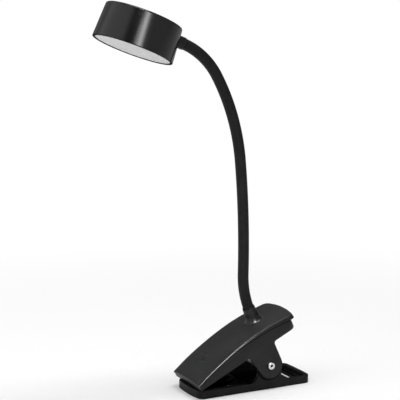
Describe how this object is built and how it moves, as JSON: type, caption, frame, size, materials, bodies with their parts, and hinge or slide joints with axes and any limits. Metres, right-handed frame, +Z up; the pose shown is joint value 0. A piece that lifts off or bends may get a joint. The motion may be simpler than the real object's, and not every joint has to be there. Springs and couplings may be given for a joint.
{
  "type": "clip on reading lamp",
  "caption": "Reading lamp on a sprung clamp, with a bendable sleeved neck and a round head that lights through an opal disc.",
  "frame": {"origin": "on the resting plane, under the middle of the lower jaw's 112 mm length and 44 mm width", "axes": "+Z up; +X from the clamp's nose to its handles; +Y across the clamp's width; the head leans over the nose, towards -X"},
  "size_m": [0.1926, 0.0692, 0.3342],
  "materials": {
    "case": "satin moulded black",
    "head_case": "smooth satin black",
    "fitting_black": "satin black",
    "grip_rubber": "grooved matt rubber",
    "sleeve": "smooth matt silicone",
    "lead": "matt insulation",
    "bright_steel": "bright nickel plated",
    "spring_steel": "plain drawn wire",
    "cell_foil": "foil pouch",
    "foam": "closed foam",
    "board": "green circuit board",
    "copper": "bare copper foil",
    "led_plate": "white coated plate",
    "opal": "opal diffuser"
  },
  "bodies": {
    "lower_jaw": {"lower_jaw": "case", "lower_pad": "grip_rubber", "pivot_pin": "bright_steel", "torsion_spring": "spring_steel"},
    "upper_jaw": {"upper_shell": "case", "top_cover": "case", "upper_pad": "grip_rubber", "cell_foam": "foam", "cell": "cell_foil", "control_board": "board", "charging_inlet": "bright_steel", "touch_plate": "copper", "cover_screw_1": "bright_steel", "cover_screw_2": "bright_steel", "cover_screw_3": "bright_steel", "cover_screw_4": "bright_steel", "lower_fitting": "bright_steel", "lower_washer": "bright_steel", "lower_nut": "bright_steel", "neck_sleeve": "sleeve", "lamp_lead": "lead", "neck_core_00": "spring_steel"},
    "neck_01": {"neck_core_01": "spring_steel"},
    "neck_02": {"neck_core_02": "spring_steel"},
    "neck_03": {"neck_core_03": "spring_steel"},
    "neck_04": {"neck_core_04": "spring_steel"},
    "neck_05": {"neck_core_05": "spring_steel"},
    "neck_06": {"neck_core_06": "spring_steel"},
    "neck_07": {"neck_core_07": "spring_steel"},
    "neck_08": {"neck_core_08": "spring_steel"},
    "neck_09": {"neck_core_09": "spring_steel"},
    "head": {"neck_core_10": "spring_steel", "upper_fitting": "fitting_black", "upper_washer": "bright_steel", "upper_nut": "bright_steel", "head_housing": "head_case", "led_board": "led_plate", "diffuser": "opal", "board_screw_1": "bright_steel", "board_screw_2": "bright_steel", "board_screw_3": "bright_steel"}
  },
  "joints": [
    {"name": "jaw_hinge", "type": "hinge", "parent": "lower_jaw", "child": "upper_jaw", "pos_m": [0.0138, 0, 0.0214], "axis": [0, 1, 0], "range_deg": [0, 30], "stiffness_Nm_per_rad": 1.6, "springref_deg": -28.65, "deforming": ["torsion_spring"]},
    {"name": "neck_bend_01", "type": "hinge", "parent": "upper_jaw", "child": "neck_01", "pos_m": [0.0013, 0, 0.07923], "axis": [0, 1, 0], "range_deg": [-22, 22], "deforming": ["neck_sleeve", "lamp_lead"]},
    {"name": "neck_bend_02", "type": "hinge", "parent": "neck_01", "child": "neck_02", "pos_m": [-0.00087, 0, 0.1043], "axis": [0.9998, 0, -0.0195], "range_deg": [-22, 22], "deforming": ["neck_sleeve", "lamp_lead"]},
    {"name": "neck_bend_03", "type": "hinge", "parent": "neck_02", "child": "neck_03", "pos_m": [-0.00075, 0, 0.12956], "axis": [0, 1, 0], "range_deg": [-22, 22], "deforming": ["neck_sleeve", "lamp_lead"]},
    {"name": "neck_bend_04", "type": "hinge", "parent": "neck_03", "child": "neck_04", "pos_m": [-0.00139, 0, 0.1548], "axis": [0.9992, 0, 0.04], "range_deg": [-22, 22], "deforming": ["neck_sleeve", "lamp_lead"]},
    {"name": "neck_bend_05", "type": "hinge", "parent": "neck_04", "child": "neck_05", "pos_m": [-0.00277, 0, 0.18002], "axis": [0, 1, 0], "range_deg": [-22, 22], "deforming": ["neck_sleeve", "lamp_lead"]},
    {"name": "neck_bend_06", "type": "hinge", "parent": "neck_05", "child": "neck_06", "pos_m": [-0.00499, 0, 0.20517], "axis": [0.9921, 0, 0.1254], "range_deg": [-22, 22], "deforming": ["neck_sleeve", "lamp_lead"]},
    {"name": "neck_bend_07", "type": "hinge", "parent": "neck_06", "child": "neck_07", "pos_m": [-0.00988, 0, 0.22993], "axis": [0, 1, 0], "range_deg": [-22, 22], "deforming": ["neck_sleeve", "lamp_lead"]},
    {"name": "neck_bend_08", "type": "hinge", "parent": "neck_07", "child": "neck_08", "pos_m": [-0.01814, 0, 0.25378], "axis": [0.92, 0, 0.392], "range_deg": [-22, 22], "deforming": ["neck_sleeve", "lamp_lead"]},
    {"name": "neck_bend_09", "type": "hinge", "parent": "neck_08", "child": "neck_09", "pos_m": [-0.02972, 0, 0.27619], "axis": [0, 1, 0], "range_deg": [-22, 22], "deforming": ["neck_sleeve", "lamp_lead"]},
    {"name": "neck_bend_10", "type": "hinge", "parent": "neck_09", "child": "head", "pos_m": [-0.04761, 0, 0.29376], "axis": [0.5433, 0, 0.8395], "range_deg": [-22, 22], "deforming": ["neck_sleeve", "lamp_lead"]}
  ]
}
